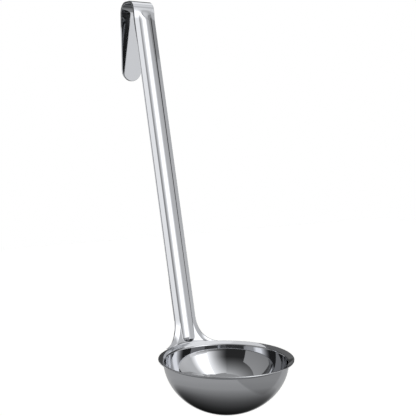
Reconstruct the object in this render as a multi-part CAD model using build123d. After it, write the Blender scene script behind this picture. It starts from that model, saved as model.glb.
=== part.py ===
from build123d import *
import math
import os

# Soup ladle in polished stainless steel: a deep bowl with a flared lip, and a strip handle with one raised
# rib, which widens into the lip at its foot and is bent to the back at its top to make a hook.
# Millimetres and degrees. The ladle hangs by its hook: the origin is the middle of the hook's seat, the
# flat underside of the bend. +Z is up, and the bowl reaches out towards -Y.

# Bowl
bowl_outer_radius = 51.7    # outer wall, half an ellipse in section
bowl_outer_depth = 45.6     # from the lip's edge down to the bottom
bowl_wall = 1.2
lip_reach = 3.6             # from the outer wall out to the upper side of the lip's edge
lip_angle = 25              # the lip's rise above level
mouth_radius = 1.6          # inside the mouth, where the wall turns out into the lip

# Handle strip
strip_width = 21.2
strip_thickness = 2.2
strip_edge_radius = 0.9     # on the long edges
lean_angle = 14.6           # the handle's lean to the back
foot_reach = 2.6            # from the lip's edge out to the strip's middle plane, at the same height
hook_top_height = 301.4     # the lip's edge to the top of the hook

# Neck, where the strip widens into the lip
neck_length = 22            # along the handle
neck_half_angle = 28        # the part of the lip that it springs from, each side of the middle
neck_foot_pull = 11         # how strongly the middle of its foot keeps to the lip's slope
neck_edge_pull = 14         # how strongly its flared edges keep to the lip's edge
neck_top_pull = 54          # how strongly its top keeps to the strip's direction

# Rib, raised towards the bowl and hollow behind
rib_width = 13
rib_height = 1.5
rib_foot_drop = 1.6         # from the foot of the handle down to the rib's lower end, sunk in the neck
rib_top_gap = 6             # from the rib's upper end to the start of the bend

# Hook
hook_corner_radius = 7.3    # inside each of the two corners of the bend
hook_flat = 7.1             # flat seat between the corners
tongue_drop = 71.9          # top of the hook to the tip of the tongue
tongue_tip_width = 20.2
tongue_round_length = 11.2  # height of the tongue's rounded end

lean = math.radians(lean_angle)
lip_slope = math.radians(lip_angle)
half_thickness = strip_thickness / 2
half_width = strip_width / 2
lip_outer_radius = bowl_outer_radius + lip_reach
foot_offset = lip_outer_radius + foot_reach     # from the bowl's axis

# The bend's middle line is two arcs and a flat, and the first arc touches the leaning strip.
bend_radius = hook_corner_radius + half_thickness
corner_height = hook_top_height - half_thickness - bend_radius
front_corner_y = foot_offset + corner_height * math.tan(lean) + bend_radius / math.cos(lean)
back_corner_y = front_corner_y + hook_flat
seat_y = (front_corner_y + back_corner_y) / 2
seat_height = hook_top_height - strip_thickness
shank_top = (corner_height + bend_radius * math.sin(lean)) / math.cos(lean)

# Everything is drawn about the centre of the lip's edge, then hung from the seat.
to_seat = Location((0, -seat_y, -seat_height))

# A plane at the handle's foot: x across, y up along the strip, z out of its front face.
strip_plane = Plane(
    origin=(0, foot_offset, 0), x_dir=(1, 0, 0), z_dir=(0, -math.cos(lean), math.sin(lean))
)


def wall_arc(radius, depth, drop):
    """One skin of the bowl in section, from the bottom up to a drop below the lip's edge."""
    below_level = math.degrees(math.asin(drop / depth))
    return EllipticalCenterArc((0, 0), radius, depth, start_angle=-90, arc_size=90 - below_level)


def bowl():
    """Half an ellipse with a flared lip, turned about the bowl's axis."""
    inner_radius = bowl_outer_radius - bowl_wall
    inner_depth = bowl_outer_depth - bowl_wall
    edge_top = (lip_outer_radius, 0)
    edge_bottom = (
        lip_outer_radius + bowl_wall * math.sin(lip_slope),
        -bowl_wall * math.cos(lip_slope),
    )
    inner_drop = (edge_top[0] - inner_radius) * math.tan(lip_slope)
    outer_drop = (edge_bottom[0] - bowl_outer_radius) * math.tan(lip_slope) - edge_bottom[1]
    with BuildPart() as part:
        with BuildSketch(Plane.XZ):
            with BuildLine():
                outer = wall_arc(bowl_outer_radius, bowl_outer_depth, outer_drop)
                inner = wall_arc(inner_radius, inner_depth, inner_drop)
                Polyline(outer @ 1, edge_bottom, edge_top, inner @ 1)
                Line(inner @ 0, outer @ 0)
            make_face()
            mouth = vertices().sort_by_distance(inner @ 1)[0]
            underside = vertices().sort_by_distance(outer @ 1)[0]
            fillet(mouth, mouth_radius)
            fillet(underside, mouth_radius + bowl_wall)
        revolve(axis=Axis.Z)
    return part.part


def pulled_curve(start, start_pull, end, end_pull, share):
    """A point on the smooth curve from start to end that sets out and arrives along the pulls."""
    rest = 1 - share
    return (
        start * (rest**2 * (1 + 2 * share))
        + start_pull * (rest**2 * share)
        + end * (share**2 * (3 - 2 * share))
        - end_pull * (share**2 * rest)
    )


def neck_middle(across, along):
    """The neck's middle surface: across runs -1 to 1, along runs from 0 at the lip to 1 at the strip."""
    half_angle = math.radians(neck_half_angle)
    # Its foot lies on the middle of the lip's edge, which is a circle.
    foot_radius = lip_outer_radius + bowl_wall / 2 * math.sin(lip_slope)
    foot_height = -bowl_wall / 2 * math.cos(lip_slope)
    middle_foot = Vector(0, foot_radius, foot_height)
    edge_foot = Vector(foot_radius * math.sin(half_angle), foot_radius * math.cos(half_angle), foot_height)
    middle_top = Vector(0, foot_offset + neck_length * math.sin(lean), neck_length * math.cos(lean))
    edge_top = middle_top + Vector(half_width, 0, 0)
    top_pull = Vector(0, math.sin(lean), math.cos(lean)) * neck_top_pull
    middle_pull = Vector(0, math.cos(lip_slope), math.sin(lip_slope)) * neck_foot_pull
    edge_pull = Vector(-math.cos(half_angle), math.sin(half_angle), 0) * neck_edge_pull

    middle = pulled_curve(middle_foot, middle_pull, middle_top, top_pull, along)
    edge = pulled_curve(edge_foot, edge_pull, edge_top, top_pull, along)
    recede = foot_radius - math.sqrt(foot_radius**2 - (edge_foot.X * across) ** 2)
    blended = middle + (edge - middle) * (recede / (foot_radius - edge_foot.Y))
    return Vector(edge.X * across, blended.Y, blended.Z)


def neck_skin(side):
    """One skin of the neck, half its thickness in front (side 1) or behind (side -1)."""
    steps = 16
    small_share = 1 / 1000
    rows = []
    for i in range(steps + 1):
        row = []
        for j in range(steps + 1):
            along = i / steps
            across = 2 * j / steps - 1
            point = neck_middle(across, along)
            right = neck_middle(across + small_share, along) - neck_middle(across - small_share, along)
            up = neck_middle(across, along + small_share) - neck_middle(across, along - small_share)
            if i == 0:
                # At the foot the skin lies exactly in the lip's slope.
                outwards = Vector(point.X, point.Y, 0).normalized()
                up = outwards * math.cos(lip_slope) + Vector(0, 0, math.sin(lip_slope))
            thickness = bowl_wall + (strip_thickness - bowl_wall) * along
            row.append(point + right.cross(up).normalized() * (side * thickness / 2))
        rows.append(row)
    return Face.make_surface_from_array_of_points(rows)


def neck_sheet():
    """The flared neck as a closed sheet: two skins joined round their four edges."""
    front = neck_skin(1)
    back = neck_skin(-1)
    sides = []
    for axis in (Axis.X, Axis.Z):
        for place in (0, -1):
            front_edge, back_edge = [skin.edges().sort_by(axis)[place] for skin in (front, back)]
            sides.append(Face.make_surface_from_curves(front_edge, back_edge))
    return Solid(Shell([front, back] + sides))


def handle_block(start, stop, lowest, highest):
    """A block between two places along the handle and two heights above the strip's middle plane."""
    block = Box(2 * strip_width, stop - start, highest - lowest, align=Align.MIN)
    return strip_plane.location * Pos(-strip_width, start, lowest) * block


def rounded_bar(radius, sunk):
    """A bar with ball ends along the handle, its axis sunk below the strip's front face."""
    first_ball = rib_width / 2 - rib_foot_drop
    last_ball = shank_top - rib_top_gap - rib_width / 2
    with BuildPart() as part:
        with BuildSketch():
            with BuildLine():
                foot = CenterArc((0, first_ball), radius, -90, 90)
                head = CenterArc((0, last_ball), radius, 0, 90)
                Line(foot @ 1, head @ 0)
                Line(head @ 1, foot @ 0)
            make_face()
        revolve(axis=Axis.Y)
    return strip_plane.location * Pos(0, 0, half_thickness - sunk) * part.part


def rib_bodies():
    """What the rib adds to the strip's front, and what its hollow takes from the back."""
    radius = (rib_width**2 / 4 + rib_height**2) / (2 * rib_height)
    sunk = radius - rib_height
    raised = rounded_bar(radius, sunk) & handle_block(0, shank_top, 0, 2 * radius)
    hollow = rounded_bar(radius - strip_thickness, sunk)
    return raised, hollow


def neck(raised, hollow):
    """The flared sheet with the rib's lower end."""
    rib_end = raised & handle_block(0, neck_length, 0, 2 * rib_width)
    return neck_sheet() + rib_end - hollow


def shank(raised, hollow):
    """The straight strip with the rib."""
    strip = Box(strip_width, shank_top - neck_length, strip_thickness)
    strip = fillet(strip.edges().filter_by(Axis.Y), strip_edge_radius)
    strip = strip_plane.location * Pos(0, (neck_length + shank_top) / 2, 0) * strip
    rib = raised & handle_block(neck_length, shank_top, 0, 2 * rib_width)
    return strip + rib - hollow


def bend_side(reach):
    """One side of the bend, at a distance from the corners' centres, and its two free ends."""
    first = CenterArc((front_corner_y, corner_height), reach, 90, 90 - lean_angle)
    second = CenterArc((back_corner_y, corner_height), reach, 0, 90)
    Line(first @ 0, second @ 1)
    return first @ 1, second @ 0


def tongue_outline(round_height):
    """The hook seen from the front, wide at the bend, with the tongue's rounded end below."""
    Polyline(
        (-half_width, corner_height),
        (-half_width, hook_top_height),
        (half_width, hook_top_height),
        (half_width, corner_height),
    )
    for side in (-1, 1):
        Spline(
            (side * half_width, corner_height),
            (side * tongue_tip_width / 2, round_height),
            tangents=((0, -1), (0, -1)),
        )
    EllipticalCenterArc(
        (0, round_height), tongue_tip_width / 2, tongue_round_length, start_angle=180, arc_size=180
    )


def hook():
    """The strip bent over to the back, with the tongue hanging straight down."""
    tip_height = hook_top_height - tongue_drop
    with BuildPart() as part:
        with BuildSketch(Plane.YZ):
            with BuildLine():
                inner_start, inner_stop = bend_side(hook_corner_radius)
                outer_start, outer_stop = bend_side(hook_corner_radius + strip_thickness)
                Line(inner_start, outer_start)
                Polyline(inner_stop, (inner_stop.X, tip_height), (outer_stop.X, tip_height), outer_stop)
            make_face()
        extrude(amount=half_width, both=True)
        with BuildSketch(Plane.XZ.offset(-seat_y)):
            with BuildLine():
                tongue_outline(tip_height + tongue_round_length)
            make_face()
        extrude(amount=hook_flat + 2 * bend_radius, both=True, mode=Mode.INTERSECT)
        # The rounding runs on from the corners' arcs round the whole outline.
        fillet(edges().filter_by(GeomType.CIRCLE), strip_edge_radius)
    return part.part


raised, hollow = rib_bodies()
pieces = {
    "bowl": bowl(),
    "neck": neck(raised, hollow),
    "shank": shank(raised, hollow),
    "hook": hook(),
}
os.makedirs("parts", exist_ok=True)
for name, piece in pieces.items():
    export_step(to_seat * piece, f"parts/{name}.step")
    print(name, round(piece.volume), "mm3", "sound" if piece.is_valid else "broken")
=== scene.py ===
import math

import bmesh
import bpy
import numpy as np
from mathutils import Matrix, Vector


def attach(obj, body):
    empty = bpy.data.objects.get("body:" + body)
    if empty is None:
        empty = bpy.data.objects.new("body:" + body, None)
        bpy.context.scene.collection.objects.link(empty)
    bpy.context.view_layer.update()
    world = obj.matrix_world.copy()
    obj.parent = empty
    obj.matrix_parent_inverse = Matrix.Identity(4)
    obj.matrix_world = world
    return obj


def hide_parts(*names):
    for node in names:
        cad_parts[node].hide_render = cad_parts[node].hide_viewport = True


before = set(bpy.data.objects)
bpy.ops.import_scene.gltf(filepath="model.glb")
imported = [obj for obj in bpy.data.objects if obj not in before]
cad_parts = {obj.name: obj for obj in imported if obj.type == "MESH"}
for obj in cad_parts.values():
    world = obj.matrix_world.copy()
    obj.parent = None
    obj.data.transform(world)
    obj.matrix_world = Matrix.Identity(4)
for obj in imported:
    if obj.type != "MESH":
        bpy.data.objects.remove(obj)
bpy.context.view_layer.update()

print("soup ladle: CAD frame loaded")

# Sizes are in millimetres and degrees, as in the CAD source. Everything is drawn about the centre of
# the lip's edge, then hung from the hook's seat, which is the origin.
mm = 0.001

stripSizes = {
    "width": 21.2,
    "thickness": 2.2,
    "edgeRadius": 0.3,
    "marginLean": 15.5,    # how far each margin beside the rib is pressed back
    "backFollows": 0.6,    # the share of that which shows behind
    "lean": 14.6,
    "footReach": 2.6,      # from the lip's edge out to the strip's middle plane
    "hookTop": 301.4,      # from the lip's edge up to the top of the hook
    "facePoints": 130,     # of its section, across each face
    "edgePoints": 9,       # and round each edge
    "stations": 170,       # along the shank
}
bowlSizes = {
    "outerRadius": 51.7,
    "outerDepth": 45.6,
    "wall": 1.2,
    "lipReach": 3.6,       # from the outer wall out to the lip's edge
    "lipAngle": 25,
    "mouthRadius": 1.6,    # inside the mouth, where the wall turns out into the lip
    "edgeRadius": 0.55,    # rubbed nearly full round by the buffing wheel
    "turnSteps": 320,      # round the axis
    "wallSteps": 72,       # up the wall
    "mouthSteps": 12,
    "edgeSteps": 5,
}
neckSizes = {
    "length": 22,
    "halfAngle": 28,       # the part of the lip that it springs from, each side of the middle
    "footPull": 11,
    "edgePull": 14,
    "topPull": 54,
    "marginWidth": 5,      # of the pressed margin at the lip
    "marginLean": 30,      # and its lean there
    "marginStart": 0.1,    # the share of the neck in which the margin sets in
    "leanFade": 1.5,       # above 1, the steeper lean is lost sooner up the neck
    "leastSheet": 0.7,     # of the thickness that the pressed margins keep
    "edgeRadius": 0.6,     # at the lip, where the edge is rounder than the strip's
    "lipCover": 2.4,       # how far its front runs on over the lip, which hides the seam
    "coverLift": 0.008,    # over the lip
    "coverSink": 0.004,    # into the lip, at the cover's end and sides
    "coverRows": 12,
    "rows": 90,
    "rowCrowding": 1.25,   # above 1, the rows are closer together at the lip
    "columns": 128,
}
hookSizes = {
    "cornerRadius": 7.3,
    "flat": 7.1,
    "tongueDrop": 71.9,
    "tipWidth": 20.2,
    "roundLength": 11.2,   # of the tongue's rounded end
    "rows": (40, 8, 48, 24, 64),    # along first corner, flat, second corner, tongue and rounded end
    "columns": 60,
}

lean = math.radians(stripSizes["lean"])
lipSlope = math.radians(bowlSizes["lipAngle"])
halfThick = stripSizes["thickness"] / 2
halfWidth = stripSizes["width"] / 2
lipRadius = bowlSizes["outerRadius"] + bowlSizes["lipReach"]
footOffset = lipRadius + stripSizes["footReach"]
bendRadius = hookSizes["cornerRadius"] + halfThick
cornerHeight = stripSizes["hookTop"] - halfThick - bendRadius
frontCorner = footOffset + cornerHeight * math.tan(lean) + bendRadius / math.cos(lean)
backCorner = frontCorner + hookSizes["flat"]
shankTop = (cornerHeight + bendRadius * math.sin(lean)) / math.cos(lean)
seat = np.array([0, (frontCorner + backCorner) / 2, stripSizes["hookTop"] - stripSizes["thickness"]])
alongStrip = np.array([0, math.sin(lean), math.cos(lean)])
outOfStrip = np.array([0, -math.cos(lean), math.sin(lean)])    # towards the bowl's side
stripFoot = np.array([0, footOffset, 0])


# Adds a node, sets its properties, and fills or links its inputs.
def addNode(tree, kind, settings=None, inputs=None):
    node = tree.nodes.new(kind)
    for name, value in (settings or {}).items():
        setattr(node, name, value)
    for name, value in (inputs or {}).items():
        if isinstance(value, bpy.types.NodeSocket):
            tree.links.new(value, node.inputs[name])
        else:
            node.inputs[name].default_value = value
    return node


# sRGB hex to the linear colour that Blender's sockets take.
def hexColour(code):
    channels = [int(code[i:i + 2], 16) / 255 for i in (1, 3, 5)]
    return [c / 12.92 if c < 0.04045 else ((c + 0.055) / 1.055) ** 2.4 for c in channels] + [1]


mergeReach = 1e-6    # metres: closer points are one
sharpFold = 1        # radians: a steeper fold isn't smoothed
wornFold = 0.3       # radians: on this fold the steel is fully worn


# Merges doubles, turns the faces outwards, smooths them, and marks the rounded edges for the steel's wear.
def closeMesh(mesh):
    work = bmesh.new()
    work.from_mesh(mesh)
    bmesh.ops.remove_doubles(work, verts=work.verts, dist=mergeReach)
    bmesh.ops.recalc_face_normals(work, faces=work.faces)
    for face in work.faces:
        face.smooth = True
    for edge in work.edges:
        edge.smooth = len(edge.link_faces) < 2 or edge.calc_face_angle() < sharpFold
    edgeWear = work.verts.layers.float.new("edgeWear")
    for vert in work.verts:
        sharpest = max(edge.calc_face_angle(0) for edge in vert.link_edges)
        vert[edgeWear] = min(sharpest / wornFold, 1) ** 2
    work.to_mesh(mesh)
    work.free()


# The ladle's own millimetres, about the lip's centre, to metres about the seat.
def toFrame(points):
    return (np.asarray(points, float) - seat) * mm


def makePiece(name, points, faces, material):
    mesh = bpy.data.meshes.new(name)
    mesh.from_pydata([tuple(p) for p in points], [], faces)
    mesh.materials.append(material)
    piece = bpy.data.objects.new(name, mesh)
    bpy.context.scene.collection.objects.link(piece)
    closeMesh(mesh)
    return piece


def finishPiece(piece, node):
    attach(piece, "root")
    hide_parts(node)
    print(piece.name, "stands for", node, "with", len(piece.data.polygons), "faces")


# Stainless steel sheet, pressed and then buffed to a mirror: it shows the room sharply, a little wavy from
# the press, and its edges are duller. The buffing wheel ran round the bowl and along the handle.
steelSizes = {
    "colour": "#CACBCE",       # faintly cool
    "wipedColour": "#C4C6CA",  # where a cloth has left the thinnest film
    "roughness": 0.032,        # nearly a mirror
    "wipedRoughness": 0.05,
    "wornRoughness": 0.14,     # of the edges, rubbed dull by pot rims and other spoons
    "wipeSize": 30,            # of the wiped patches
    "cleanBelow": 0.35,        # of the wiping noise, which runs from 0 to 1
    "wipedAbove": 0.65,
    "waveSize": 16,            # of the waves that pressing left in the sheet
    "waveHeight": 0.006,
    "hairWidth": 0.5,          # buffing hairlines: really 0.02, drawn coarser or the picture loses them
    "hairLength": 25,
    "hairHeight": 0.0003,
}


def mirrorSteel(name, goesRoundBowl):
    size = steelSizes
    material = bpy.data.materials.new(name)
    material.use_nodes = True
    tree = material.node_tree
    tree.nodes.clear()
    place = addNode(tree, "ShaderNodeTexCoord").outputs["Object"]
    if goesRoundBowl:
        # Across the grain runs out from the axis and up the wall.
        fromLip = addNode(tree, "ShaderNodeVectorMath", {"operation": "SUBTRACT"}, {
            0: place, 1: tuple(toFrame([0, 0, 0]))})
        level = addNode(tree, "ShaderNodeVectorMath", {"operation": "MULTIPLY"}, {
            0: fromLip.outputs[0], 1: (1, 1, 0)})
        radius = addNode(tree, "ShaderNodeVectorMath", {"operation": "LENGTH"}, {0: level.outputs[0]})
        height = addNode(tree, "ShaderNodeSeparateXYZ", inputs={0: fromLip.outputs[0]})
        acrossGrain = addNode(tree, "ShaderNodeMath", {"operation": "ADD"}, {
            0: radius.outputs["Value"], 1: height.outputs["Z"]}).outputs[0]
    else:
        acrossGrain = addNode(tree, "ShaderNodeSeparateXYZ", inputs={0: place}).outputs["X"]

    # Long thin hairlines: the noise changes fast across the grain and slowly along it.
    stretched = addNode(tree, "ShaderNodeVectorMath", {"operation": "SCALE"}, {
        0: place, "Scale": 1 / (size["hairLength"] * mm)})
    crossing = addNode(tree, "ShaderNodeMath", {"operation": "MULTIPLY"}, {
        0: acrossGrain, 1: 1 / (size["hairWidth"] * mm)})
    hairlines = addNode(tree, "ShaderNodeTexNoise", {"noise_dimensions": "4D"}, {
        "Vector": stretched.outputs[0], "W": crossing.outputs[0], "Scale": 1.0, "Detail": 1.0})
    waves = addNode(tree, "ShaderNodeTexNoise", inputs={
        "Vector": place, "Scale": 1 / (size["waveSize"] * mm), "Detail": 0.0})
    wiped = addNode(tree, "ShaderNodeTexNoise", inputs={
        "Vector": place, "Scale": 1 / (size["wipeSize"] * mm), "Detail": 3.0, "Roughness": 0.55})
    worn = addNode(tree, "ShaderNodeAttribute", {"attribute_name": "edgeWear"})

    # The relief in millimetres.
    waveRelief = addNode(tree, "ShaderNodeMath", {"operation": "MULTIPLY"}, {
        0: waves.outputs[0], 1: size["waveHeight"]})
    relief = addNode(tree, "ShaderNodeMath", {"operation": "MULTIPLY_ADD"}, {
        0: hairlines.outputs[0], 1: size["hairHeight"], 2: waveRelief.outputs[0]})
    bump = addNode(tree, "ShaderNodeBump", inputs={
        "Strength": 1.0, "Distance": mm, "Height": relief.outputs[0]})
    polish = addNode(tree, "ShaderNodeMapRange", inputs={
        "Value": wiped.outputs[0], "From Min": size["cleanBelow"], "From Max": size["wipedAbove"],
        "To Min": size["roughness"], "To Max": size["wipedRoughness"]})
    roughness = addNode(tree, "ShaderNodeMapRange", inputs={
        "Value": worn.outputs["Fac"], "To Min": polish.outputs[0], "To Max": size["wornRoughness"]})
    colour = addNode(tree, "ShaderNodeMix", {"data_type": "RGBA"}, {
        "Factor": wiped.outputs[0], 6: hexColour(size["colour"]), 7: hexColour(size["wipedColour"])})
    shader = addNode(tree, "ShaderNodeBsdfPrincipled", inputs={
        "Base Color": colour.outputs[2], "Metallic": 1.0, "Roughness": roughness.outputs[0],
        "Normal": bump.outputs[0]})
    addNode(tree, "ShaderNodeOutputMaterial", inputs={"Surface": shader.outputs["BSDF"]})
    return material


bowlSteel = mirrorSteel("mirrorPolishedSteelBuffedRound", True)
handleSteel = mirrorSteel("mirrorPolishedSteelBuffedLengthwise", False)
print("steel: two materials made")


# The bowl is its section, turned about its axis by Geometry Nodes.

# Where a circle of the given radius touches both the lip's side and the wall, as the arc between them.
def roundedMouth(wallPoints, wallNormals, linePoint, radius):
    lineNormal = np.array([math.sin(lipSlope), -math.cos(lipSlope)])
    centres = wallPoints + wallNormals * radius
    off = (centres - linePoint) @ lineNormal - radius
    k = int(np.argmax(np.sign(off[:-1]) != np.sign(off[1:])))
    share = off[k] / (off[k] - off[k + 1])
    centre = centres[k] + (centres[k + 1] - centres[k]) * share
    startAngle = math.atan2(*(-wallNormals[k])[::-1])
    endAngle = math.atan2(*(-lineNormal)[::-1])
    turn = (endAngle - startAngle + math.pi) % (2 * math.pi) - math.pi
    angles = startAngle + turn * np.linspace(0, 1, bowlSizes["mouthSteps"] + 1)
    return k, centre + radius * np.column_stack([np.cos(angles), np.sin(angles)])


def bowlSection():
    size = bowlSizes
    edgeTop = np.array([lipRadius, 0])
    edgeBottom = edgeTop + size["wall"] * np.array([math.sin(lipSlope), -math.cos(lipSlope)])
    fineSteps = 6000    # for finding where the mouth's rounding starts
    skins = []
    for radius, depth, corner, roundness in (
        (size["outerRadius"], size["outerDepth"], edgeBottom, size["mouthRadius"] - size["wall"]),
        (size["outerRadius"] - size["wall"], size["outerDepth"] - size["wall"], edgeTop,
         size["mouthRadius"]),
    ):
        t = np.linspace(0, math.pi / 2, fineSteps + 1)
        wall = np.column_stack([radius * np.sin(t), -depth * np.cos(t)])
        # normals out of the bowl: the rounding lies outside the wall and under the lip
        normals = np.column_stack([np.sin(t) / radius, -np.cos(t) / depth])
        normals /= np.linalg.norm(normals, axis=1)[:, None]
        k, arc = roundedMouth(wall, normals, corner, roundness)
        rings = np.unique(np.round(k * np.linspace(0, 1, size["wallSteps"] + 1)).astype(int))
        skins.append(np.vstack([wall[rings[:-1]], arc]))
    outer, inner = skins
    # the lip's cut edge, with its two corners rubbed round
    inward = np.array([-math.cos(lipSlope), -math.sin(lipSlope)])
    across = (edgeTop - edgeBottom) / size["wall"]
    r = size["edgeRadius"]
    turn = np.linspace(0, math.pi / 2, size["edgeSteps"] + 1)[:, None]
    lowCorner = edgeBottom + (inward + across) * r - across * r * np.cos(turn) - inward * r * np.sin(turn)
    highCorner = edgeTop + (inward - across) * r - inward * r * np.cos(turn) + across * r * np.sin(turn)
    return np.vstack([outer, lowCorner, highCorner, inner[::-1]])


def latheTree():
    tree = bpy.data.node_groups.new("turnSection", "GeometryNodeTree")
    for name, kind in (
        ("Geometry", "NodeSocketGeometry"), ("Section Points", "NodeSocketInt"),
        ("Turn Steps", "NodeSocketInt"), ("Axis Centre", "NodeSocketVector"),
        ("Material", "NodeSocketMaterial"),
    ):
        tree.interface.new_socket(name, in_out="INPUT", socket_type=kind)
    tree.interface.new_socket("Geometry", in_out="OUTPUT", socket_type="NodeSocketGeometry")
    given = addNode(tree, "NodeGroupInput").outputs
    corners = addNode(tree, "ShaderNodeMath", {"operation": "ADD"}, {0: given["Turn Steps"], 1: 1.0})
    sheet = addNode(tree, "GeometryNodeMeshGrid", inputs={
        "Vertices X": corners.outputs[0], "Vertices Y": given["Section Points"]})
    index = addNode(tree, "GeometryNodeInputIndex")
    ratio = addNode(tree, "ShaderNodeMath", {"operation": "DIVIDE"}, {
        0: index.outputs[0], 1: given["Section Points"]})
    column = addNode(tree, "ShaderNodeMath", {"operation": "FLOOR"}, {0: ratio.outputs[0]})
    row = addNode(tree, "ShaderNodeMath", {"operation": "MODULO"}, {
        0: index.outputs[0], 1: given["Section Points"]})
    place = addNode(tree, "GeometryNodeInputPosition")
    drawn = addNode(tree, "GeometryNodeSampleIndex", {"data_type": "FLOAT_VECTOR", "domain": "POINT"}, {
        "Geometry": given["Geometry"], "Value": place.outputs[0], "Index": row.outputs[0]})
    step = addNode(tree, "ShaderNodeMath", {"operation": "DIVIDE"}, {
        0: 2 * math.pi, 1: given["Turn Steps"]})
    angle = addNode(tree, "ShaderNodeMath", {"operation": "MULTIPLY"}, {
        0: column.outputs[0], 1: step.outputs[0]})
    turned = addNode(tree, "ShaderNodeVectorRotate", {"rotation_type": "Z_AXIS"}, {
        "Vector": drawn.outputs[0], "Center": given["Axis Centre"], "Angle": angle.outputs[0]})
    placed = addNode(tree, "GeometryNodeSetPosition", inputs={
        "Geometry": sheet.outputs["Mesh"], "Position": turned.outputs[0]})
    closed = addNode(tree, "GeometryNodeMergeByDistance", inputs={
        "Geometry": placed.outputs[0], "Distance": mergeReach})
    real = addNode(tree, "GeometryNodeRealizeInstances", inputs={"Geometry": closed.outputs[0]})
    painted = addNode(tree, "GeometryNodeSetMaterial", inputs={
        "Geometry": real.outputs[0], "Material": given["Material"]})
    addNode(tree, "NodeGroupOutput", inputs={0: painted.outputs[0]})
    return tree


# Puts a node tree on a drawn outline, sets its named inputs, and keeps the result as a plain mesh.
def runTree(name, points, edges, tree, values):
    mesh = bpy.data.meshes.new(name + "Outline")
    mesh.from_pydata([tuple(p) for p in points], edges, [])
    piece = bpy.data.objects.new(name, mesh)
    bpy.context.scene.collection.objects.link(piece)
    modifier = piece.modifiers.new(tree.name, "NODES")
    modifier.node_group = tree
    sockets = {s.name: s.identifier for s in tree.interface.items_tree if s.in_out == "INPUT"}
    for socket, value in values.items():
        modifier[sockets[socket]] = value
    bpy.context.view_layer.update()
    shape = piece.evaluated_get(bpy.context.evaluated_depsgraph_get())
    made = bpy.data.meshes.new_from_object(shape)
    made.name = name
    piece.modifiers.clear()
    piece.data = made
    closeMesh(made)
    return piece


section = bowlSection()
sectionPoints = toFrame(np.column_stack([section[:, 0], np.zeros(len(section)), section[:, 1]]))
bowl = runTree("bowlCup", sectionPoints, [(i, i + 1) for i in range(len(section) - 1)], latheTree(), {
    "Section Points": len(section),
    "Turn Steps": bowlSizes["turnSteps"],
    "Axis Centre": tuple(toFrame([0, 0, 0])),
    "Material": bowlSteel,
})
finishPiece(bowl, "bowl")


# The rib is a bar with ball ends, raised in front and hollow behind.
ribSizes = {
    "width": 13,
    "height": 1.5,
    "footDrop": 1.6,       # from the foot of the handle down to the rib's lower end, sunk in the neck
    "topGap": 0.8,         # from its upper end to the bend
    "topFade": 10.5,       # its upper end sinks into the strip over this length
    "softness": 0.05,      # of the pressed crease at its base
}

barRadius = (ribSizes["width"] ** 2 / 4 + ribSizes["height"] ** 2) / (2 * ribSizes["height"])
barSunk = barRadius - ribSizes["height"]
firstBall = ribSizes["width"] / 2 - ribSizes["footDrop"]
ribEnd = shankTop - ribSizes["topGap"]


# The larger of two heights with a soft crease between them, as the node of the same name does it.
def softLarger(a, b, softness):
    share = np.maximum(softness - np.abs(a - b), 0) / softness
    return np.maximum(a, b) + share ** 3 * softness / 6


# The bar's height over the strip's front face near its lower end. A smaller radius gives its hollow's.
def barHeight(x, along, radius):
    beyond = np.maximum(firstBall - along, 0)
    return np.sqrt(np.maximum(radius ** 2 - x ** 2 - beyond ** 2, 0)) - barSunk


# The shank is the strip's section, swept up the handle by Geometry Nodes, which press the rib into it.
def stripSection():
    r = stripSizes["edgeRadius"]
    flat = halfWidth - r
    across = np.linspace(-flat, flat, stripSizes["facePoints"])
    quarter = np.linspace(0, math.pi / 2, stripSizes["edgePoints"])
    right = [(flat + r * math.sin(a), halfThick - r + r * math.cos(a)) for a in quarter[1:]]
    right += [(flat + r * math.cos(a), -halfThick + r - r * math.sin(a)) for a in quarter[:-1]]
    left = [(-x, -z) for x, z in right]
    return np.array([(x, halfThick) for x in across] + right + [(-x, -halfThick) for x in across] + left)


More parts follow.
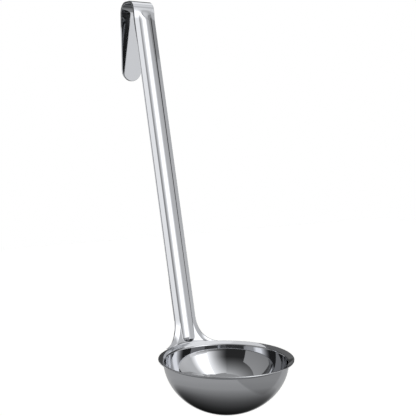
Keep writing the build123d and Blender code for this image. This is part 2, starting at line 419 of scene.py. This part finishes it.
def pressedStripTree():
    tree = bpy.data.node_groups.new("pressedStrip", "GeometryNodeTree")
    for name, kind in (
        ("Geometry", "NodeSocketGeometry"), ("Start", "NodeSocketFloat"), ("Stop", "NodeSocketFloat"),
        ("Stations", "NodeSocketInt"), ("Thickness", "NodeSocketFloat"), ("Bar Radius", "NodeSocketFloat"),
        ("Bar Sunk", "NodeSocketFloat"), ("Rib End", "NodeSocketFloat"), ("Fade Length", "NodeSocketFloat"),
        ("Softness", "NodeSocketFloat"), ("Rib Half Width", "NodeSocketFloat"),
        ("Margin Slope", "NodeSocketFloat"), ("Back Follows", "NodeSocketFloat"),
        ("Lean", "NodeSocketFloat"), ("Foot", "NodeSocketVector"), ("Material", "NodeSocketMaterial"),
    ):
        tree.interface.new_socket(name, in_out="INPUT", socket_type=kind)
    tree.interface.new_socket("Geometry", in_out="OUTPUT", socket_type="NodeSocketGeometry")
    given = addNode(tree, "NodeGroupInput").outputs

    path = addNode(tree, "GeometryNodeCurvePrimitiveLine", inputs={"Start": (0, 0, 0), "End": (0, 1, 0)})
    cut = addNode(tree, "GeometryNodeResampleCurve", inputs={
        "Curve": path.outputs[0], "Count": given["Stations"]})
    here = addNode(tree, "ShaderNodeSeparateXYZ", inputs={
        "Vector": addNode(tree, "GeometryNodeInputPosition").outputs[0]}).outputs
    # Each entry: a result, its operation and what it works on, earlier results, inputs or numbers.
    made = {"share": addNode(tree, "GeometryNodeSplineParameter").outputs["Factor"]}
    made.update({name: here[name] for name in "XYZ"})
    made.update({name: given[name] for name in (
        "Start", "Stop", "Thickness", "Bar Radius", "Bar Sunk", "Rib End", "Fade Length", "Softness",
        "Rib Half Width", "Margin Slope", "Back Follows")})
    for result, operation, *values in (
        # stations along the strip, closer together towards the rib's upper end
        ("left", "SUBTRACT", 1.0, "share"), ("leftSquared", "POWER", "left", 2.0),
        ("reach", "SUBTRACT", "Stop", "Start"), ("fromStop", "MULTIPLY", "leftSquared", "reach"),
        ("along", "SUBTRACT", "Stop", "fromStop"),
        # the rib's height over each face of the strip, from the bar's round top
        ("xSquared", "MULTIPLY", "X", "X"),
        ("isBack", "LESS_THAN", "Z", 0.0), ("thinner", "MULTIPLY", "isBack", "Thickness"),
        ("radius", "SUBTRACT", "Bar Radius", "thinner"), ("radiusSquared", "MULTIPLY", "radius", "radius"),
        ("under", "SUBTRACT", "radiusSquared", "xSquared"), ("insideBar", "MAXIMUM", "under", 0.0),
        ("barTop", "SQRT", "insideBar"), ("overFace", "SUBTRACT", "barTop", "Bar Sunk"),
        ("over", "ADD", "overFace", "thinner"),
        # it sinks smoothly into the strip at its upper end
        ("toEnd", "SUBTRACT", "Rib End", "Y"), ("endShare", "DIVIDE", "toEnd", "Fade Length"),
        ("fromZero", "MAXIMUM", "endShare", 0.0), ("toOne", "MINIMUM", "fromZero", 1.0),
        ("squared", "MULTIPLY", "toOne", "toOne"), ("twice", "MULTIPLY", "toOne", -2.0),
        ("threeLess", "ADD", "twice", 3.0), ("fade", "MULTIPLY", "squared", "threeLess"),
        ("faded", "MULTIPLY", "over", "fade"), ("lifted", "SMOOTH_MAX", "faded", 0.0, "Softness"),
        # the margins beside it are pressed back, a little less behind
        ("fromMiddle", "ABSOLUTE", "X"), ("fromRib", "SUBTRACT", "fromMiddle", "Rib Half Width"),
        ("onMargin", "MAXIMUM", "fromRib", 0.0), ("pressed", "MULTIPLY", "onMargin", "Margin Slope"),
        ("lessBehind", "SUBTRACT", 1.0, "Back Follows"), ("behind", "MULTIPLY", "isBack", "lessBehind"),
        ("sideShare", "SUBTRACT", 1.0, "behind"), ("endPressed", "MULTIPLY", "pressed", "fade"),
        ("drop", "MULTIPLY", "endPressed", "sideShare"),
        # the rib lifts the faces within 1.15 of its half width, so the rounded long edges keep their form
        ("roomForRib", "MULTIPLY", "Rib Half Width", 1.15),
        ("onFace", "LESS_THAN", "fromMiddle", "roomForRib"), ("ribLift", "MULTIPLY", "lifted", "onFace"),
        ("lift", "SUBTRACT", "ribLift", "drop"),
    ):
        made[result] = addNode(tree, "ShaderNodeMath", {"operation": operation}, {
            i: made.get(value, value) for i, value in enumerate(values)}).outputs[0]
    spot = addNode(tree, "ShaderNodeCombineXYZ", inputs={"Y": made["along"]})
    path = addNode(tree, "GeometryNodeSetPosition", inputs={
        "Geometry": cut.outputs[0], "Position": spot.outputs[0]})
    outline = addNode(tree, "GeometryNodeMeshToCurve", inputs={"Mesh": given["Geometry"]})
    swept = addNode(tree, "GeometryNodeCurveToMesh", inputs={
        "Curve": path.outputs[0], "Profile Curve": outline.outputs[0], "Fill Caps": True})
    offset = addNode(tree, "ShaderNodeCombineXYZ", inputs={"Z": made["lift"]})
    pressed = addNode(tree, "GeometryNodeSetPosition", inputs={
        "Geometry": swept.outputs[0], "Offset": offset.outputs[0]})
    turn = addNode(tree, "ShaderNodeCombineXYZ", inputs={"X": given["Lean"]})
    stood = addNode(tree, "GeometryNodeTransform", inputs={
        "Geometry": pressed.outputs[0], "Translation": given["Foot"], "Rotation": turn.outputs[0]})
    real = addNode(tree, "GeometryNodeRealizeInstances", inputs={"Geometry": stood.outputs[0]})
    painted = addNode(tree, "GeometryNodeSetMaterial", inputs={
        "Geometry": real.outputs[0], "Material": given["Material"]})
    addNode(tree, "NodeGroupOutput", inputs={0: painted.outputs[0]})
    return tree


section = stripSection() * mm
loop = [(i, (i + 1) % len(section)) for i in range(len(section))]
shank = runTree("shankStrip", [(x, y, 0) for x, y in section], loop, pressedStripTree(), {
    "Start": neckSizes["length"] * mm,
    "Stop": shankTop * mm,
    "Stations": stripSizes["stations"],
    "Thickness": stripSizes["thickness"] * mm,
    "Bar Radius": barRadius * mm,
    "Bar Sunk": barSunk * mm,
    "Rib End": ribEnd * mm,
    "Fade Length": ribSizes["topFade"] * mm,
    "Softness": ribSizes["softness"] * mm,
    "Rib Half Width": ribSizes["width"] / 2 * mm,
    "Margin Slope": math.tan(math.radians(stripSizes["marginLean"])),
    "Back Follows": stripSizes["backFollows"],
    "Lean": math.pi / 2 - lean,
    "Foot": tuple(toFrame(stripFoot)),
    "Material": handleSteel,
})
finishPiece(shank, "shank")


# The neck and the hook are sheets drawn row by row, with their edges rubbed round.

# Half the sheet's thickness near its outline, where the edge is a quarter round on each side.
def edgeHeight(distance, half, roundness):
    inside = np.minimum(distance, roundness)
    return half - roundness + np.sqrt(np.maximum(roundness ** 2 - (roundness - inside) ** 2, 0))


# Places across a sheet from -1 to 1, close together where its edges are rounded.
def spreadAcross(count, roundShare, roundSteps=10):
    quarter = roundShare * (1 - np.cos(np.linspace(0, math.pi / 2, roundSteps + 1)))
    middle = np.linspace(roundShare, 1, count // 2)[1:]
    half = np.concatenate([quarter, middle]) - 1
    return np.concatenate([half, -half[-2::-1]])


# How far each point lies from the nearest stretch of an outline.
def distanceTo(outline, points):
    flat = points.reshape(-1, points.shape[-1])
    best = np.full(len(flat), np.inf)
    for a, b in zip(outline[:-1], outline[1:]):
        side = b - a
        share = np.clip((flat - a) @ side / (side @ side), 0, 1)
        best = np.minimum(best, np.linalg.norm(flat - a - share[:, None] * side, axis=1))
    return best.reshape(points.shape[:-1])


# A closed piece from two grids of points, the sheet's front and its back.
def sheetPiece(name, front, back):
    rows, columns = front.shape[:2]
    points = np.concatenate([front.reshape(-1, 3), back.reshape(-1, 3)])

    def ahead(i, j):
        return i * columns + j

    def behind(i, j):
        return rows * columns + i * columns + j

    faces = []
    for i in range(rows - 1):
        for j in range(columns - 1):
            faces.append((ahead(i, j), ahead(i, j + 1), ahead(i + 1, j + 1), ahead(i + 1, j)))
            faces.append((behind(i, j), behind(i + 1, j), behind(i + 1, j + 1), behind(i, j + 1)))
        for j in (0, columns - 1):
            faces.append((ahead(i, j), ahead(i + 1, j), behind(i + 1, j), behind(i, j)))
    for i in (0, rows - 1):
        for j in range(columns - 1):
            faces.append((ahead(i, j), behind(i, j), behind(i, j + 1), ahead(i, j + 1)))
    return makePiece(name, toFrame(points), faces, handleSteel)


def unit(vectors):
    return vectors / np.linalg.norm(vectors, axis=-1, keepdims=True)


# A point on the smooth curve from start to end that sets out and arrives along the pulls.
def pulledCurve(start, startPull, end, endPull, share):
    share = np.asarray(share, float)[..., None]
    rest = 1 - share
    return (
        start * (rest ** 2 * (1 + 2 * share)) + startPull * (rest ** 2 * share)
        + end * (share ** 2 * (3 - 2 * share)) - endPull * (share ** 2 * rest)
    )


# The neck springs from the middle of the lip's cut edge.
footRadius = lipRadius + bowlSizes["wall"] / 2 * math.sin(lipSlope)
footHeight = -bowlSizes["wall"] / 2 * math.cos(lipSlope)


# The neck's middle surface, as in the CAD: across runs -1 to 1, along 0 at the lip to 1 at the strip.
def neckMiddle(across, along):
    halfAngle = math.radians(neckSizes["halfAngle"])
    middleFoot = np.array([0, footRadius, footHeight])
    edgeFoot = np.array([footRadius * math.sin(halfAngle), footRadius * math.cos(halfAngle), footHeight])
    middleTop = stripFoot + alongStrip * neckSizes["length"]
    edgeTop = middleTop + np.array([halfWidth, 0, 0])
    topPull = alongStrip * neckSizes["topPull"]
    middlePull = np.array([0, math.cos(lipSlope), math.sin(lipSlope)]) * neckSizes["footPull"]
    edgePull = np.array([-math.cos(halfAngle), math.sin(halfAngle), 0]) * neckSizes["edgePull"]
    middle = pulledCurve(middleFoot, middlePull, middleTop, topPull, along)
    edge = pulledCurve(edgeFoot, edgePull, edgeTop, topPull, along)
    recede = footRadius - np.sqrt(footRadius ** 2 - (edgeFoot[0] * across) ** 2)
    blended = middle + (edge - middle) * (recede / (footRadius - edgeFoot[1]))[..., None]
    return np.stack([edge[..., 0] * across, blended[..., 1], blended[..., 2]], axis=-1)


def neckSheet():
    size = neckSizes
    edgeRound = stripSizes["edgeRadius"]
    lipRound = size["edgeRadius"]
    along, across = np.meshgrid(
        np.linspace(0, 1, size["rows"] + 1) ** size["rowCrowding"],
        spreadAcross(size["columns"], edgeRound / halfWidth), indexing="ij",
    )
    middle = neckMiddle(across, along)
    small = 1e-4    # the step for the surface's slopes
    right = neckMiddle(across + small, along) - neckMiddle(across - small, along)
    up = neckMiddle(across, along + small) - neckMiddle(across, np.maximum(along - small, 0))
    # At the foot the sheet lies in the lip's slope.
    out = unit(middle[0] * np.array([1, 1, 0]))
    lipUp = out * math.cos(lipSlope) + np.array([0, 0, math.sin(lipSlope)])
    up[0] = lipUp
    normal = unit(np.cross(right, up))
    normal[0] = unit(np.cross(np.column_stack([out[:, 1], -out[:, 0], 0 * out[:, 0]]), lipUp))
    half = (bowlSizes["wall"] + (stripSizes["thickness"] - bowlSizes["wall"]) * along) / 2
    # More rows run on over the lip, a hair above it and sunk into it at their end and sides.
    cover = np.linspace(size["lipCover"], 0, size["coverRows"] + 1)[:-1]
    share = (cover / size["lipCover"])[:, None]
    hair = size["coverLift"] * (1 - share ** 2) * (1 - np.abs(across[:1]) ** 6) - size["coverSink"] * share
    middle = np.concatenate([middle[0] - lipUp * cover[:, None, None], middle])
    normal, half, along = [
        np.concatenate([np.repeat(part[:1], len(cover), axis=0), part]) for part in (normal, half, along)]
    # The outline is the flared edge, and 12 degrees of the lip beyond it.
    fine = np.linspace(0, 1, 200) ** 1.5    # closer together at the lip
    edge = neckMiddle(np.ones_like(fine), fine)
    beyond = np.radians(size["halfAngle"] + np.linspace(12, 0, 30)[:-1])
    lip = np.column_stack([
        footRadius * np.sin(beyond), footRadius * np.cos(beyond), np.full_like(beyond, edge[0, 2])])
    outline = np.concatenate([lip, edge, edge[-1:] + alongStrip])
    away = distanceTo(outline, np.abs(middle) * np.array([1, 1, 0]) + middle * np.array([0, 0, 1]))
    roundness = lipRound + (edgeRound - lipRound) * along
    lift = edgeHeight(away, half, np.minimum(roundness, half))
    # The margins are pressed back, and more steeply where they turn into the lip.
    topWidth = halfWidth - ribSizes["width"] / 2
    topSlope = math.tan(math.radians(stripSizes["marginLean"]))
    footSlope = math.tan(math.radians(size["marginLean"]))
    margin = size["marginWidth"] + (topWidth - size["marginWidth"]) * along
    slope = topSlope + (footSlope - topSlope) * (1 - along) ** size["leanFade"]
    start = np.clip(along / size["marginStart"], 0, 1)
    drop = np.maximum(margin - away, 0) * slope * start ** 2 * (3 - 2 * start)
    frontLift = lift - drop
    frontLift[:len(cover)] = half[:len(cover)] + hair
    backLift = lift + np.maximum(
        drop * stripSizes["backFollows"], drop + size["leastSheet"] - 2 * half)
    backLift[:len(cover)] = 0
    skins = []
    for side, radius in ((1, barRadius), (-1, barRadius - stripSizes["thickness"])):
        skin = middle + normal * (frontLift if side > 0 else -backLift)[..., None]
        height = (skin - stripFoot) @ outOfStrip
        bar = halfThick + barHeight(skin[..., 0], (skin - stripFoot) @ alongStrip, radius)
        rise = softLarger(bar, height, ribSizes["softness"]) - height
        rise = np.where(away > roundness, rise, 0)
        skins.append(skin + rise[..., None] * outOfStrip)
    return sheetPiece("neckFlare", *skins)


finishPiece(neckSheet(), "neck")


def hookSheet():
    size = hookSizes
    roundness = stripSizes["edgeRadius"]
    tipHeight = stripSizes["hookTop"] - size["tongueDrop"]
    # How far along the middle line first corner, flat, second corner, tongue and rounded end reach.
    firstTurn = math.pi / 2 - lean
    marks = np.cumsum([0, bendRadius * firstTurn, size["flat"], bendRadius * math.pi / 2,
                       cornerHeight - tipHeight - size["roundLength"], size["roundLength"]])

    def roundEnd(steps):
        return marks[5] - size["roundLength"] * (1 - np.sin(np.linspace(0, math.pi / 2, steps + 1)))

    *straightRows, endRows = size["rows"]
    run = np.concatenate([
        *(np.linspace(start, stop, steps + 1)[:-1]
          for start, stop, steps in zip(marks, marks[1:], straightRows)),
        roundEnd(endRows),
    ])

    def place(at):
        y, z, ny, nz = (np.zeros_like(at) for _ in range(4))
        first = at < marks[1]
        angle = math.pi - lean - at / bendRadius
        y[first] = frontCorner + bendRadius * np.cos(angle[first])
        z[first] = cornerHeight + bendRadius * np.sin(angle[first])
        ny[first], nz[first] = np.cos(angle[first]), np.sin(angle[first])
        flat = (at >= marks[1]) & (at < marks[2])
        y[flat] = frontCorner + at[flat] - marks[1]
        z[flat] = cornerHeight + bendRadius
        nz[flat] = 1
        second = (at >= marks[2]) & (at < marks[3])
        angle = math.pi / 2 - (at - marks[2]) / bendRadius
        y[second] = backCorner + bendRadius * np.cos(angle[second])
        z[second] = cornerHeight + bendRadius * np.sin(angle[second])
        ny[second], nz[second] = np.cos(angle[second]), np.sin(angle[second])
        down = at >= marks[3]
        y[down] = backCorner + bendRadius
        z[down] = cornerHeight - (at[down] - marks[3])
        ny[down] = 1
        return y, z, ny, nz

    def halfWidthAt(at):
        narrowing = np.clip((at - marks[3]) / (marks[4] - marks[3]), 0, 1)
        wide = halfWidth + (size["tipWidth"] / 2 - halfWidth) * narrowing ** 2 * (3 - 2 * narrowing)
        past = np.clip((at - marks[4]) / size["roundLength"], 0, 1)
        return wide * np.sqrt(np.maximum(1 - past ** 2, 0))

    y, z, ny, nz = place(run)
    wide = halfWidthAt(run)
    across = spreadAcross(size["columns"], roundness / halfWidth)
    x = wide[:, None] * across[None, :]
    # The outline is measured on the unrolled sheet, and starts 5 mm down the shank, which it runs on into.
    fine = np.concatenate([[-5], run[run < marks[4]], roundEnd(240)])
    outline = np.column_stack([halfWidthAt(fine), fine])
    unrolled = np.stack([np.abs(x), np.broadcast_to(run[:, None], x.shape)], axis=-1)
    lift = edgeHeight(distanceTo(outline, unrolled), halfThick, roundness)
    skins = []
    for side in (1, -1):
        skins.append(np.stack([
            x, y[:, None] + ny[:, None] * lift * side, z[:, None] + nz[:, None] * lift * side], axis=-1))
    return sheetPiece("hookTongue", *skins)


finishPiece(hookSheet(), "hook")


# The camera stands where the photograph was taken from.
cameraSizes = {
    "lens": 75,
    "place": (-0.39343, -0.71665, -0.10792),
    "azimuth": 33.359,     # of its aim, from +Y towards +X
    "down": 5.668,
    "sensorWidth": 36,
    "nearest": 0.01,       # metres that it still sees
}
photoCamera = bpy.data.cameras.new("photoCamera")
photoCamera.lens = cameraSizes["lens"]
photoCamera.sensor_width = cameraSizes["sensorWidth"]
photoCamera.clip_start = cameraSizes["nearest"]
cameraObject = bpy.data.objects.new("photoCamera", photoCamera)
bpy.context.scene.collection.objects.link(cameraObject)
cameraObject.location = cameraSizes["place"]
cameraObject.rotation_euler = (
    math.radians(90 - cameraSizes["down"]), 0, -math.radians(cameraSizes["azimuth"]))
bpy.context.scene.camera = cameraObject
bpy.context.scene.view_settings.view_transform = "Standard"
print("camera stands at the photograph's angle")


# The studio is a white room, with grey and black cards for the steel to mirror; each card glows with
# painted light and shade, and no lamp lights it. Metres and degrees:
# azimuth 0 is in front, towards -Y, and 90 to the right, towards +X.
studioSizes = {
    "centre": (0, -0.12, -0.24),    # which the cards stand round
    "cardRows": 40,
    "cardColumns": 60,
    "roomLight": 0.65,              # that falls on things, where the camera sees 1
}
# Each card: its azimuths, the height of its low edge at its left and right end and then of its high edge,
# the painted greys of light and shade that the steel shows of its corners (low left, low right, high left,
# high right; 255 is white), and its distance. Where two overlap, the nearer one is seen. The hook's shade
# card stands so near the ladle that only the inside of the hook mirrors it: it paints shade there.
cards = {
    "leftWall": ((-131, -72), (1, 1), (50, 30), (118, 128, 143, 136), 4.2),
    "leftBackFlag": ((-180, -131), (8, 8), (60, 60), (75, 70, 70, 60), 4.6),
    "blackFlag": ((-100, -35), (1, 1), (22, 22), (38, 38, 40, 38), 4.6),
    "blackFlagTop": ((-120, -35), (22, 22), (62, 62), (40, 38, 138, 175), 4.6),
    "blackFlagSide": ((-35, 4), (7, 7), (22, 22), (38, 248, 38, 255), 4.6),
    "blackFlagSideTop": ((-35, 4), (22, 22), (60, 60), (38, 255, 185, 240), 4.6),
    "blackFlagFoot": ((-35, 4), (1, 5), (7, 7), (45, 140, 45, 150), 4.6),
    "softbox": ((4, 27), (10, 10), (60, 54), (275, 275, 275, 275), 4.5),
    "softboxFoot": ((4, 27), (4, 4), (10, 10), (140, 165, 215, 225), 4.5),
    "softboxEdge": ((27, 41), (10, 10), (54, 46), (275, 177, 275, 177), 4.5),
    "rightWall": ((41, 60), (-10, -10), (46, 30), (177, 188, 177, 172), 4.5),
    "rightWallEnd": ((60, 78), (-10, -10), (30, 20), (188, 190, 172, 160), 4.5),
    "rightFlag": ((78, 146), (-2, -2), (48, 46), (60, 60, 66, 66), 4.5),
    "rightBackFlag": ((146, 180), (-2, -2), (48, 48), (90, 80, 100, 90), 4.5),
    "backLight": ((98, 150), (46, 46), (70, 70), (225, 215, 245, 220), 4.4),
    "window": ((126, 152), (-20, -20), (-10, -10), (185, 190, 200, 200), 4.4),
    # A dark card that paints shade on the inside of the hook, which alone mirrors it.
    "hookShadeCard": ((146, 182), (-9, -9), (10, 10), (12, 20, 66, 75), 0.69),
    "farTableLeft": ((-145, -14), (-15, -15), (1, 1), (148, 146, 150, 150), 4.9),
    "farTableRight": ((-14, 27), (-15, -15), (5, 4), (131, 131, 131, 135), 4.9),
    "lowCeiling": ((4, 38), (50, 38), (63, 54), (138, 137, 142, 150), 4.7),
    "bendLight": ((38, 62), (38, 34), (60, 60), (150, 150, 225, 225), 4.68),
    "lowCeilingEnd": ((46, 82), (35, 16), (50, 62), (137, 137, 138, 138), 4.7),
    "ceiling": ((-180, 30), (58, 58), (90, 90), (138, 138, 146, 146), 4.8),
}


# A stage mesh on a grid of points, which the camera and the floor don't see: it glows with its painted
# light and shade, which only mirrors show.
def cardMesh(name, points, greys, material):
    rows, columns = greys.shape
    mesh = bpy.data.meshes.new(name)
    mesh.from_pydata([tuple(p) for p in points.reshape(-1, 3)], [], [
        (i * columns + j, i * columns + j + 1, (i + 1) * columns + j + 1, (i + 1) * columns + j)
        for i in range(rows - 1) for j in range(columns - 1)
    ])
    light = mesh.attributes.new("light", "FLOAT", "POINT")
    steelGrey = hexColour(steelSizes["colour"])[1]
    shown = greys.ravel() / 255
    # the sRGB grey as light, and more of it to make up for what the steel swallows
    light.data.foreach_set("value", ((shown + 0.055) / 1.055) ** 2.4 / steelGrey)
    mesh.materials.append(material)
    card = bpy.data.objects.new(name, mesh)
    bpy.context.scene.collection.objects.link(card)
    card.visible_camera = card.visible_diffuse = card.visible_shadow = False


# The cards' material: a glow that carries their painted light and shade, not lit matt paper.
def cardGlowShader():
    material = bpy.data.materials.new("cardGlowingWithPaintedLight")
    material.use_nodes = True
    tree = material.node_tree
    tree.nodes.clear()
    shade = addNode(tree, "ShaderNodeAttribute", {"attribute_name": "light"})
    glow = addNode(tree, "ShaderNodeEmission", inputs={"Strength": shade.outputs["Fac"]})
    addNode(tree, "ShaderNodeOutputMaterial", inputs={"Surface": glow.outputs[0]})
    return material


def standCards(paper):
    up, across = np.meshgrid(
        np.linspace(0, 1, studioSizes["cardRows"] + 1),
        np.linspace(0, 1, studioSizes["cardColumns"] + 1), indexing="ij")
    for name, (azimuths, low, high, greys, away) in cards.items():
        azimuth = np.radians(azimuths[0] + (azimuths[1] - azimuths[0]) * across)
        lowEdge = low[0] + (low[1] - low[0]) * across
        highEdge = high[0] + (high[1] - high[0]) * across
        height = np.radians(lowEdge + (highEdge - lowEdge) * up)
        aim = np.stack([
            np.sin(azimuth) * np.cos(height), -np.cos(azimuth) * np.cos(height), np.sin(height)], axis=-1)
        lowLeft, lowRight, highLeft, highRight = greys
        shown = (lowLeft + (lowRight - lowLeft) * across) * (1 - up)
        shown += (highLeft + (highRight - highLeft) * across) * up
        cardMesh(name, np.array(studioSizes["centre"]) + aim * away, shown, paper)


# The table card lies over the floor, where only mirrors see it, and glows with painted light: grey, with a
# painted shade behind the ladle and a darker right side.
tableSizes = {
    "drop": 4.31,                   # from the studio's centre down to the card
    "reach": 20,
    "steps": 300,
    "crowding": 1.6,                # above 1, its points are closer together in the middle
    # The painted shade: where it lies, how it fades, and its greys by distance.
    "paintedShadePlace": (2.32, 4.29),      # from under the centre
    "paintedShadeStretch": 0.49,            # above 0, it fades sooner on its far side
    "paintedShadeGreys": {0: 8, 0.25: 26, 0.4: 40, 0.6: 70, 0.8: 109, 1: 137, 1.4: 146},    # by shares of drop
    "sideStart": (-1.2, -6.8),      # a point on the line where the darker right side starts
    "sideFacing": (0.8, -0.6),      # across that line
    "sideBlur": 0.4,
    "sideDarker": 0.11,
}


def layTableCard(paper):
    size = tableSizes
    even = np.linspace(-1, 1, size["steps"] + 1)
    side = np.sign(even) * np.abs(even) ** size["crowding"] * size["reach"]
    y, x = np.meshgrid(side, side, indexing="ij")
    # Greys of the painted shade, darkest at its place and fading outwards.
    dark = np.array(size["paintedShadePlace"])
    fromDark = np.stack([x, y], axis=-1) - dark
    farSide = fromDark @ dark / np.linalg.norm(dark)
    stretched = np.linalg.norm(fromDark, axis=-1) + size["paintedShadeStretch"] * farSide
    shown = np.interp(stretched / size["drop"], list(size["paintedShadeGreys"]), list(size["paintedShadeGreys"].values()))
    pastLine = (x - size["sideStart"][0]) * size["sideFacing"][0]
    pastLine += (y - size["sideStart"][1]) * size["sideFacing"][1]
    rightSide = np.clip(pastLine / size["sideBlur"] + 0.5, 0, 1) * np.clip(-y, 0, 1)
    points = np.stack([x, y, np.full_like(x, -size["drop"])], axis=-1) + np.array(studioSizes["centre"])
    cardMesh("tableCard", points, shown * (1 - size["sideDarker"] * rightSide), paper)


# Is 1 for what the camera sees, straight or in a mirror, and 0 for the light that falls on things.
def seenDirectly(tree):
    path = addNode(tree, "ShaderNodeLightPath").outputs
    seen = path["Is Camera Ray"]
    for other in ("Is Glossy Ray", "Is Transmission Ray"):
        larger = addNode(tree, "ShaderNodeMath", {"operation": "MAXIMUM"}, {0: seen, 1: path[other]})
        seen = larger.outputs[0]
    return seen


# The floor: matt white paper, and a little brighter to the camera so that it ends in the white room,
# which still leaves the ladle's shadow on it.
floorSizes = {
    "height": -4.8,
    "reach": 30,
    "colour": "#F0F0EE",
    "roughness": 0.6,
    "glow": 0.45,                   # that only the camera and mirrors see
}


def paleFloor():
    size = floorSizes
    material = bpy.data.materials.new("whitePaperFloor")
    material.use_nodes = True
    tree = material.node_tree
    tree.nodes.clear()
    lift = addNode(tree, "ShaderNodeMath", {"operation": "MULTIPLY"}, {
        0: seenDirectly(tree), 1: size["glow"]})
    paper = addNode(tree, "ShaderNodeBsdfDiffuse", inputs={
        "Color": hexColour(size["colour"]), "Roughness": size["roughness"]})
    glow = addNode(tree, "ShaderNodeEmission", inputs={"Strength": lift.outputs[0]})
    both = addNode(tree, "ShaderNodeAddShader", inputs={0: paper.outputs[0], 1: glow.outputs[0]})
    addNode(tree, "ShaderNodeOutputMaterial", inputs={"Surface": both.outputs[0]})
    mesh = bpy.data.meshes.new("paleFloor")
    corners = [(x * size["reach"], y * size["reach"], size["height"])
               for x, y in ((-1, -1), (1, -1), (1, 1), (-1, 1))]
    mesh.from_pydata(corners, [], [(0, 1, 2, 3)])
    mesh.materials.append(material)
    floor = bpy.data.objects.new("paleFloor", mesh)
    bpy.context.scene.collection.objects.link(floor)


def whiteRoom():
    world = bpy.data.worlds.new("whiteRoom")
    world.use_nodes = True
    tree = world.node_tree
    tree.nodes.clear()
    strength = addNode(tree, "ShaderNodeMapRange", inputs={
        "Value": seenDirectly(tree), "To Min": studioSizes["roomLight"], "To Max": 1.0})
    air = addNode(tree, "ShaderNodeBackground", inputs={
        "Color": (1, 1, 1, 1), "Strength": strength.outputs[0]})
    addNode(tree, "ShaderNodeOutputWorld", inputs={"Surface": air.outputs[0]})
    bpy.context.scene.world = world


# The lamp shines from the softbox's side, for the soft shadow on the floor.
lampSizes = {
    "side": 1.6,
    "power": 60,
    "azimuth": 17,
    "height": 50,                   # degrees over the studio's centre
    "away": 1.6,                    # measured level
}


def softLamp():
    size = lampSizes
    lamp = bpy.data.lights.new("softboxLamp", "AREA")
    lamp.shape = "RECTANGLE"
    lamp.size = size["side"]
    lamp.size_y = size["side"]
    lamp.energy = size["power"]
    stand = bpy.data.objects.new("softboxLamp", lamp)
    bpy.context.scene.collection.objects.link(stand)
    azimuth = math.radians(size["azimuth"])
    aim = Vector((math.sin(azimuth), -math.cos(azimuth), math.tan(math.radians(size["height"]))))
    stand.location = Vector(studioSizes["centre"]) + aim * size["away"]
    stand.rotation_euler = aim.to_track_quat("Z", "Y").to_euler()
    stand.visible_glossy = False


# The cards' glowing material, with their light and shade painted in.
paper = cardGlowShader()
standCards(paper)
layTableCard(paper)
paleFloor()
whiteRoom()
softLamp()
print("studio:", len(cards) + 1, "cards, floor, room and lamp")
